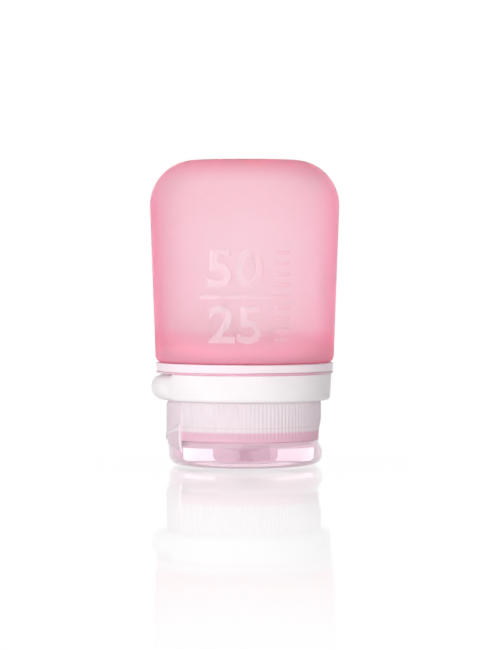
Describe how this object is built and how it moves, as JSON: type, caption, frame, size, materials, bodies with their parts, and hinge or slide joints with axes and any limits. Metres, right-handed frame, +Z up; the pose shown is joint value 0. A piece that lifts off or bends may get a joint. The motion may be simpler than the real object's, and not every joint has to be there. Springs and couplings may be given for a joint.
{
  "type": "travel silicone bottle",
  "caption": "Small squeezable travel bottle standing upside down on its flip-top screw cap, with a soft translucent body, a white collar, a loop band with a pull tab and a clear hinged lid.",
  "frame": {"origin": "centre of the lid's flat outer face, which the bottle stands on", "axes": "+Z up along the bottle's axis, from the lid to the body's flat end; -X towards the lid's hinge and the band's pull tab; +X towards the thumb recess"},
  "size_m": [0.0454, 0.0454, 0.073],
  "materials": {
    "pink_silicone": "translucent matte silicone",
    "white_plastic": "satin moulded",
    "white_soft": "soft satin elastomer",
    "neck_plastic": "natural moulded",
    "frosted_plastic": "translucent natural plastic",
    "clear_plastic": "polished clear plastic",
    "clear_silicone": "clear silicone"
  },
  "bodies": {
    "cap": {"cap_base": "frosted_plastic", "drip_valve": "clear_silicone", "valve_retainer": "neck_plastic", "hinge_wings": "frosted_plastic", "hinge_film": "frosted_plastic"},
    "lid": {"flip_lid": "clear_plastic"},
    "seal": {"cap_seal": "pink_silicone"},
    "bottle": {"silicone_body": "pink_silicone", "collar_ring": "white_plastic", "neck_insert": "neck_plastic"},
    "loop": {"loop_band": "white_soft"}
  },
  "joints": [
    {"name": "lid_hinge", "type": "hinge", "parent": "cap", "child": "lid", "pos_m": [-0.01892, 0, 0.0068], "axis": [0, 1, 0], "range_deg": [0, 170], "deforming": ["hinge_wings", "hinge_film"]},
    {"name": "cap_twist", "type": "hinge", "parent": "cap", "child": "seal", "pos_m": [0, 0, 0], "axis": [0, 0, 1], "range_deg": [0, 750]},
    {"name": "bottle_lift", "type": "slide", "parent": "seal", "child": "bottle", "axis": [0, 0, 1], "range_m": [0, 0.0063]},
    {"name": "loop_turn", "type": "hinge", "parent": "bottle", "child": "loop", "pos_m": [0, 0, 0.01875], "axis": [0, 0, 1], "continuous": true}
  ],
  "couplings": [
    {"joint": "bottle_lift", "follows": "cap_twist", "m_per_rad": 0.00047746}
  ]
}
